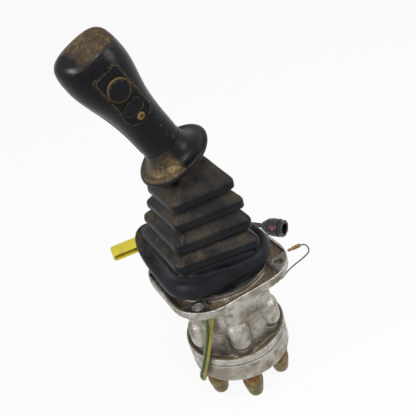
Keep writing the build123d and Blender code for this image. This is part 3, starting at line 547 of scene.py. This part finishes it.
plainLook = {"cloudGrain": (90, 4), "speckGrain": (800, 4, 0.7), "sheen": 0.45, "dirtShare": 0.45,
             "bump": 0.3 * mm}
stripedLook = {"cloudGrain": (70, 4), "speckGrain": (700, 4, 0.7), "sheen": 0.5, "dirtShare": 0.5,
               "bump": 0.3 * mm}


def cableSkin(name, own):
    look = {**plainLook, **own}
    material, tree, shader = startMaterial(name, **{"Specular IOR Level": look["sheen"]})
    cloud = mottle(tree, *look["cloudGrain"])
    speck = mottle(tree, *look["speckGrain"])
    color = tint(tree, look["base"], ramp(tree, cloud, 0.35, 0.65), look["faded"])
    color = tint(tree, color, product(tree, ramp(tree, speck, 0.52, 0.72), look["dirtShare"]), look["dirt"])
    rough = ramp(tree, speck, 0.3, 0.7, look["rough"] - 0.06, look["rough"] + 0.12)
    tree.links.new(color, shader.inputs["Base Color"])
    tree.links.new(rough, shader.inputs["Roughness"])
    raiseBump(tree, shader, [(speck, 0.15)], look["bump"])
    return material


def stripedSkin(name, own):
    look = {**stripedLook, **own}
    material, tree, shader = startMaterial(name, **{"Specular IOR Level": look["sheen"]})
    around = addNode(tree, "TexCoord").outputs["UV"]
    around = addNode(tree, "SeparateXYZ", inputs={0: around}).outputs[1]
    cloud = mottle(tree, *look["cloudGrain"])
    speck = mottle(tree, *look["speckGrain"])
    color = tint(tree, look["base"], ramp(tree, cloud, 0.35, 0.65), look["faded"])
    (low, lowEnd), (high, highEnd) = look["stripeSpan"]
    stripe = product(tree, ramp(tree, around, low, lowEnd), inverse(tree, ramp(tree, around, high, highEnd)))
    color = tint(tree, color, stripe, look["stripe"])
    color = tint(tree, color, product(tree, ramp(tree, speck, 0.50, 0.72), look["dirtShare"]), look["dirt"])
    rough = ramp(tree, speck, 0.3, 0.7, look["rough"] - 0.08, look["rough"] + 0.14)
    tree.links.new(color, shader.inputs["Base Color"])
    tree.links.new(rough, shader.inputs["Roughness"])
    raiseBump(tree, shader, [(speck, 0.15)], look["bump"])
    return material


cableBlack = cableSkin("cableBlack", {
    "base": shade(22, 22, 23), "faded": shade(40, 40, 41), "dirt": shade(80, 70, 56), "rough": 0.5})
cableYellow = stripedSkin("cableYellow", {
    "base": shade(176, 162, 34), "faded": shade(136, 120, 34), "stripe": shade(40, 82, 28),
    "stripeSpan": ((0.02, 0.05), (0.22, 0.26)), "dirt": shade(86, 70, 30), "rough": 0.38})
cableGreen = cableSkin("cableGreen", {
    "base": shade(70, 112, 66), "faded": shade(50, 84, 54), "dirt": shade(96, 92, 56), "rough": 0.45})
markerYellow = cableSkin("markerYellow", {
    "base": shade(220, 202, 34), "faded": shade(200, 182, 40), "dirt": shade(168, 150, 34), "rough": 0.40})
plugBlack = cableSkin("plugBlack", {
    "base": shade(9, 9, 10), "faded": shade(18, 18, 20), "dirt": shade(46, 42, 37), "rough": 0.34})
lockRed = cableSkin("lockRed", {
    "base": shade(170, 34, 28), "faded": shade(140, 30, 26), "dirt": shade(60, 24, 20), "rough": 0.4})
print("cable finishes ready")


# free cables: points from the housing on in millimetres, diameter and length in metres
loopLook = {"diameter": 0.0032, "length": 0.189, "points": [
    (-29.863, -28.212, -14.5), (-34.637, -33.332, -14.5), (-37.2, -32.2, -30.0), (-42.0, -29.5, -47.0),
    (-46.5, -23.8, -66.0), (-50.2, -16.5, -84.0), (-51.8, -11.0, -95.0), (-50.8, -16.4, -97.0),
    (-49.2, -20.1, -84.0), (-45.0, -27.2, -66.5), (-39.9, -32.3, -46.0), (-35.3, -34.8, -31.0),
    (-30.834, -36.878, -14.5), (-26.060, -31.759, -14.5)]}
harnessLook = {"diameter": 0.006, "length": 0.5566, "points": [
    (26.499, 31.350, -14.5), (40.139, 45.977, -14.5), (58.0, 64.0, -30.0), (67.0, 84.0, -62.0),
    (70.0, 104.0, -100.0), (66.0, 132.0, -124.8), (50.0, 178.0, -124.8), (26.0, 225.0, -124.3),
    (-2.5, 264.5, -123.5), (4.5, 302.5, -123.5), (45.0, 318.0, -124.8), (82.0, 296.0, -124.8),
    (106.0, 246.0, -124.8), (117.0, 216.0, -120.8), (126.038, 195.074, -116.4), (137.0, 176.0, -116.4)]}
earthLook = {"diameter": 0.0018, "length": 0.2355, "points": [
    (30.887, 27.258, -14.5), (41.117, 38.228, -14.5), (56.0, 50.0, -34.0), (68.0, 58.0, -62.0),
    (80.0, 68.0, -96.0), (96.0, 82.0, -126.9), (114.0, 91.5, -126.9), (128.0, 95.0, -126.9),
    (140.0, 97.0, -126.9), (151.0, 100.5, -126.9), (155.2, 105.4, -126.9), (157.4, 112.0, -126.3),
    (155.8, 117.0, -125.5), (151.5, 118.8, -125.5)]}
markerLook = {"shift": (-5.5 * mm, 2.5 * mm, 0), "sharpFrom": 35}


def inMetres(spot):
    return [value / 1000 for value in spot]


def layCable(name, look, material):
    points = [inMetres(spot) for spot in look["points"]]
    piece = drawTube(name, points, look["diameter"] / 2, material, steps=10, rounds=4, caps=True)
    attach(piece, "housing")
    return piece


def buildMarker(look):  # the sleeve on the harness, moved to sit around the cable
    builder = bmesh.new()
    builder.from_mesh(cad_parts["marker_sleeve"].data)
    bmesh.ops.remove_doubles(builder, verts=builder.verts, dist=weld)
    bmesh.ops.translate(builder, verts=builder.verts, vec=look["shift"])
    piece = finishMesh("markerTube", builder, markerYellow)
    piece.data.set_sharp_from_angle(angle=math.radians(look["sharpFrom"]))
    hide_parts("marker_sleeve")
    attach(piece, "housing")
    return piece


wireLoop = layCable("wireLoop", loopLook, cableYellow)
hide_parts("wire_loop")
markerTube = buildMarker(markerLook)
harnessCable = layCable("harnessCable", harnessLook, cableBlack)
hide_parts("harness_cable")
earthWire = layCable("earthWire", earthLook, cableGreen)
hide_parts("earth_wire")
print("cables laid")


# boot in a lower and an upper part: rows of height, half width and corner radius from the foot up
bootLook = {
    "base": [(10.0, 39.0, 24.0), (10.3, 40.6, 25.0), (12.0, 43.5, 27.0), (14.0, 47.2, 30.0),
             (16.0, 50.0, 32.0), (18.6, 51.7, 33.5), (22.0, 52.2, 34.0), (25.6, 51.6, 33.5),
             (28.8, 49.6, 32.0), (31.0, 46.6, 29.0), (32.2, 43.4, 25.0), (33.2, 40.6, 20.0),
             (33.8, 38.2, 14.0), (35.0, 36.0, 9.0), (37.6, 34.4, 6.0)],
    "pleats": [(40.2, 39.2), (56.4, 35.8), (73.0, 32.4), (90.2, 29.4)], "corner": 6.5,
    "fold": [(-0.6, 5.2, 2), (0, 4.6, 1.5), (0, 0.9, 0.6), (0.35, 0.25, 0),  # rise, inset and corner cut
             (1.0, 0, 0), (3.74, 0.1, 0), (5.9, 0.15, 0), (6.6, 0.5, 0)],
    "band": 6.8, "overhang": 5.2, "wall": (0.08, 0.35, 0.65, 0.92), "sag": 0.5, "wallInset": 0.3,
    "wallCorner": 1.5, "top": (117.0, 15.5),
    "neck": [(117.0, 14.9, 5), (117.3, 13.0, 4.5), (117.0, 11.6, 6), (113.5, 11.0, 7)],
    "lean": [(40.2, (-8.4, -2.4), (-0.20, 0.01)), (56.4, (-5.6, -0.4), (-0.16, 0.04)),  # push and tilt
             (73.0, (-2.7, -1.0), (-0.133, -0.03)), (90.2, (-2.1, -1.0), (-0.075, -0.04)),
             (117.0, (0, 0), (0, 0))],
    "leanHalf": 47, "brimHalf": 43, "brimTop": 34, "fadeOver": 6,
    "curl": 22.0, "curlFrom": 30, "curlOver": 60, "curlPower": 1.5, "rimShift": (-4.8, 3.0),
    "rimReach": (1.0, 10.0), "wander": 0.7 * mm, "splitAt": 2,
}


def bootProfile(look):  # all rows, and the row at which each pleat starts
    rows = list(look["base"])
    starts = []
    pleats = look["pleats"]
    corner = look["corner"]
    followers = [(height, half - look["overhang"]) for height, half in pleats[1:]] + [look["top"]]
    for (height, half), (upperHeight, upperHalf) in zip(pleats, followers):
        starts.append(len(rows))
        rows += [(height + rise, half - inset, corner - cut) for rise, inset, cut in look["fold"]]
        low = height + look["band"]
        for share in look["wall"]:
            drop = (upperHeight - low) * share - look["sag"] * math.sin(math.pi * share)
            wall = half + (upperHalf - half) * share - look["wallInset"]
            rows.append((low + drop, wall, corner - look["wallCorner"] * share))
    return rows + look["neck"], starts


def bootLean(rows, height):  # how far the folds at a height are pushed over, and how they tilt
    for (low, *first), (high, *second) in zip(rows, rows[1:]):
        if height <= high:
            share = max(0, (height - low) / (high - low))
            return [Vector(start).lerp(Vector(end), share) for start, end in zip(first, second)]
    return Vector((0, 0)), Vector((0, 0))


def roundedSquare(half, corner, height, perCorner=8, perSide=8):
    points = []
    middle = Vector((half - corner, half - corner))
    for quarter in range(4):
        turn = Matrix.Rotation(quarter * math.pi / 2, 2)
        spots = []
        for step in range(perCorner):
            angle = math.pi / 2 * step / perCorner
            spots.append(middle + corner * Vector((math.cos(angle), math.sin(angle))))
        for step in range(perSide):
            spots.append(Vector((half - corner - 2 * (half - corner) * step / perSide, half)))
        points += [(*(turn @ spot), height) for spot in spots]
    return points


def bootRing(look, height, half, corner):
    hold = clamped((look["leanHalf"] - half) / look["fadeOver"])
    push, tilt = (way * hold for way in bootLean(look["lean"], height))
    brim = clamped((half - look["brimHalf"]) / look["fadeOver"]) if height < look["brimTop"] else 0
    ring = []
    for x, y, z in roundedSquare(half, min(corner, half - 0.5), height):
        lift = brim * clamped((y - x - look["curlFrom"]) / look["curlOver"]) ** look["curlPower"]
        z += tilt[0] * x + tilt[1] * y + look["curl"] * lift
        x += push[0] + look["rimShift"][0] * brim + look["rimReach"][0] * lift
        y += push[1] + look["rimShift"][1] * brim + look["rimReach"][1] * lift
        spot = Vector((x, y, z)) * mm
        ripple = (noise.noise(spot * 38) + noise.noise(spot * 120) * 0.4) * look["wander"]
        ring.append(spot + Vector((x, y, 0)).normalized() * ripple)
    return ring


def buildBoot(look):
    rows, starts = bootProfile(look)
    rings = [bootRing(look, *row) for row in rows]
    cut = starts[look["splitAt"]]
    lower = skinRings("bootLower", rings[:cut + 1], bootRubber)
    subdivideOnce(lower, "PRESERVE_CORNERS")
    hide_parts("boot")
    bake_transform(lower)
    upper = skinRings("bootUpper", rings[cut:], bootRubber)
    subdivideOnce(upper, "PRESERVE_CORNERS")
    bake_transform(upper)


buildBoot(bootLook)
print("boot ready")


# rubber skirt under the grip: radius and height above the crank, from the underside around the rim,
# over the dish and up the collar
skirtLook = {
    "profile": [(6.4, 20.0), (14.0, 18.6), (22.0, 16.8), (26.5, 16.0), (29.8, 15.9), (31.9, 16.8),
                (32.8, 18.4), (32.7, 20.0), (31.6, 21.3), (29.8, 21.6), (27.6, 21.1), (25.2, 21.5),
                (22.8, 22.9), (20.8, 25.2), (19.3, 28.2), (18.4, 31.4), (17.9, 34.5), (17.55, 37.0)],
    "count": 72, "wander": 0.6 * mm, "wanderFrom": 18, "wanderOver": 10,
}


def buildSkirt(look):
    rings = []
    for radius, height in look["profile"]:
        reach = look["wander"] * clamped((radius - look["wanderFrom"]) / look["wanderOver"])
        ring = []
        for step in range(look["count"]):
            angle = 2 * math.pi * step / look["count"]
            spot = gripPoint(radius * math.cos(angle), radius * math.sin(angle), height)
            ring.append(spot + gripAxis * (noise.noise(spot * 45) * reach))
        rings.append(ring)
    piece = skinRings("skirt", rings, skirtRubber)
    subdivideOnce(piece)
    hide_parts("grip_skirt")
    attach(piece, "lever")


buildSkirt(skirtLook)
print("skirt ready")


# casing and flange as one casting with soft fillets and fuller domes over the ports
portAngles = [math.radians(-107.2 + 60 * port) for port in range(6)]
castingLook = {"voxel": 0.7 * mm, "rounds": 4, "softness": 0.5, "keepFaces": 0.4,
               "domeReach": 36.6, "domeRadius": 11.4, "domeTop": -42.0, "domeBottom": -54.0}


def addDome(builder, look, angle):  # a ball pulled long between two heights
    radius = look["domeRadius"] / 1000
    ball = bmesh.ops.create_uvsphere(builder, u_segments=32, v_segments=20, radius=radius)["verts"]
    for vert in ball:
        vert.co.z += (look["domeTop"] if vert.co.z > 0 else look["domeBottom"]) / 1000
        vert.co.x += look["domeReach"] * math.cos(angle) / 1000
        vert.co.y += look["domeReach"] * math.sin(angle) / 1000


def buildCasting(look):
    builder = bmesh.new()
    for node in ("casing", "mounting_flange"):
        builder.from_mesh(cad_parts[node].data)
    bmesh.ops.remove_doubles(builder, verts=builder.verts, dist=weld)
    for angle in portAngles:
        addDome(builder, look, angle)
    piece = finishMesh("castingSkin", builder, castAluminium)
    skin = piece.modifiers.new("voxels", "REMESH")
    skin.mode = "VOXEL"
    skin.voxel_size = look["voxel"]
    skin.use_smooth_shade = True
    soften = piece.modifiers.new("soften", "SMOOTH")
    soften.factor = look["softness"]
    soften.iterations = look["rounds"]
    thin = piece.modifiers.new("thin", "DECIMATE")
    thin.ratio = look["keepFaces"]
    applyModifiers(piece)
    piece.data.materials.clear()
    piece.data.materials.append(castAluminium)
    for face in piece.data.polygons:
        face.use_smooth = True
    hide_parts("casing", "mounting_flange")
    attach(piece, "housing")
    print("casting ready", len(piece.data.polygons))


buildCasting(castingLook)


# port adaptors: height and radius from the bore over a hexagon and a round-ended barrel and back
adaptorLook = {
    "pitchRadius": 35.9, "hexRadius": 11.0, "count": 40, "chamferRows": (1, 4), "flatRows": (2, 3),
    "profile": [(-98.2, 3.0), (-98.2, 9.8), (-99.1, 11.0), (-103.7, 11.0), (-104.6, 9.8), (-104.6, 8.2),
                (-106.2, 8.2), (-106.8, 9.6), (-110.5, 9.8), (-115.0, 9.2), (-120.0, 8.2), (-124.5, 7.3),
                (-126.8, 6.3), (-127.9, 4.9), (-128.0, 3.3), (-127.0, 3.0), (-100.0, 3.0)],
}


def hexShare(way):  # how far out the flats of a hexagon are in a direction, as a share of its corners
    return math.cos(math.pi / 6) / math.cos(way % (math.pi / 3) - math.pi / 6)


def adaptorRing(look, row, angle):
    height, radius = look["profile"][row]
    middle = Vector((look["pitchRadius"] * math.cos(angle), look["pitchRadius"] * math.sin(angle), 0))
    ring = []
    for step in range(look["count"]):
        way = 2 * math.pi * step / look["count"]
        reach = radius
        if row in look["chamferRows"]:
            reach = min(radius, look["hexRadius"] * hexShare(way + angle))
        elif row in look["flatRows"]:
            reach = radius * hexShare(way + angle)
        ring.append((middle + Vector((reach * math.cos(way), reach * math.sin(way), height))) / 1000)
    return ring


def buildAdaptors(look):
    for port, angle in enumerate(portAngles):
        rings = [adaptorRing(look, row, angle) for row in range(len(look["profile"]))]
        piece = skinRings(f"adaptor{port + 1}", rings, yellowPlating)
        if port == 0:
            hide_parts("port_adaptors")
        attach(piece, "housing")


buildAdaptors(adaptorLook)
print("adaptors ready")


# bead along the grip's parting line: distance from the grip's axis and height above the crank
beadLook = {"radius": 0.45, "line": [
    (-17.2, 40), (-17.2, 48), (-17.5, 66), (-19.9, 84), (-24.1, 102), (-25.9, 120), (-24.6, 131),
    (-22.5, 136), (-18.3, 139.6), (-12.5, 141.4), (0, 141.6), (12.5, 141.4), (18.3, 139.6), (22.5, 136),
    (24.6, 131), (25.9, 120), (24.1, 102), (19.9, 84), (17.5, 66), (17.2, 48), (17.2, 40)]}


def buildBead(look):
    points = [gripPoint(x, 0, w) for x, w in look["line"]]
    piece = drawTube("gripBead", points, look["radius"] / 1000, beadDust, steps=12, rounds=2, caps=False)
    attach(piece, "lever")


buildBead(beadLook)
print("bead ready")


# ribs and lock on the plug, which lies on its side: distances along it from its cable end
plugLook = {
    "end": (137.0, 176.0, -116.4), "heading": (0.498284, -0.867014, 0), "radius": 11.5,
    "ribs": 14, "ribFrom": 15.0, "ribTo": 23.0, "ribDepth": 1.2, "ribRise": 0.1, "ribHalf": 1.3,
    "bareBelow": -0.9, "lockFrom": 16.5, "lockTo": 21.0, "lockDepth": 0.2, "lockRise": 0.8, "lockHalf": 1.8,
    "lockAngle": 0.84 * math.pi, "soft": 0.4 * mm,
}


def plugPoint(ahead, out, angle):
    heading = Vector(plugLook["heading"])
    across = Vector((-heading.y, heading.x, 0))
    away = across * math.cos(angle) + Vector(upward) * math.sin(angle)
    return (Vector(plugLook["end"]) + heading * ahead + away * out) / 1000


def addBlock(builder, start, end, low, high, angle, half):
    verts = []
    for ahead in (start, end):
        for out in (low, high):
            for side in (-half, half):
                verts.append(builder.verts.new(plugPoint(ahead, out, angle + side / out)))
    for corners in ((0, 1, 3, 2), (4, 6, 7, 5), (0, 2, 6, 4), (1, 5, 7, 3), (2, 3, 7, 6), (0, 4, 5, 1)):
        builder.faces.new([verts[corner] for corner in corners])


def finishPlugPiece(name, builder, material, look):
    bmesh.ops.recalc_face_normals(builder, faces=builder.faces)
    piece = finishMesh(name, builder, material, smooth=False)
    soft = piece.modifiers.new("soft", "BEVEL")
    soft.width = look["soft"]
    soft.segments = 2
    applyModifiers(piece)
    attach(piece, "housing")


def buildPlug(look):
    radius = look["radius"]
    builder = bmesh.new()
    for rib in range(look["ribs"]):
        angle = 2 * math.pi * rib / look["ribs"]
        if math.sin(angle) > look["bareBelow"]:
            low, high = radius - look["ribDepth"], radius + look["ribRise"]
            addBlock(builder, look["ribFrom"], look["ribTo"], low, high, angle, look["ribHalf"])
    finishPlugPiece("plugRibs", builder, plugBlack, look)
    builder = bmesh.new()
    low, high = radius - look["lockDepth"], radius + look["lockRise"]
    addBlock(builder, look["lockFrom"], look["lockTo"], low, high, look["lockAngle"], look["lockHalf"])
    finishPlugPiece("plugLock", builder, lockRed, look)


buildPlug(plugLook)
print("plug ready")


nodeFinishes = {
    blockAluminium: ("port_block", "body_gasket"),
    machinedSteel: (
        "block_screws", "retainer_plate", "rod_guides", "joint_stud", "gimbal_cross", "yoke", "swash_plate",
        "adjusting_nut", "lock_nut", "lever_rod", "grip_screws", "boot_plate",
        "push_rod_right", "push_rod_rear", "push_rod_left", "push_rod_front",
        "spool_right", "spool_rear", "spool_left", "spool_front",
        "return_spring_right", "return_spring_rear", "return_spring_left", "return_spring_front"),
    brassScrew: ("panel_screw",),
    terminalSleeve: ("bullet_terminal",),
    sealRubber: ("wire_grommet_front", "wire_grommet_rear", "rod_seals", "port_washers"),
    gripBlack: ("grip_front", "grip_rear", "grip_core"),
    panelBlack: ("switch_panel",),
    bezelBlack: ("button_bezel",),
    buttonBlack: ("push_button", "oval_button"),
    plugBlack: ("connector_body", "connector_ring"),
}
for material, nodes in nodeFinishes.items():
    for node in nodes:
        dress(node, material)
print("frame dressed")
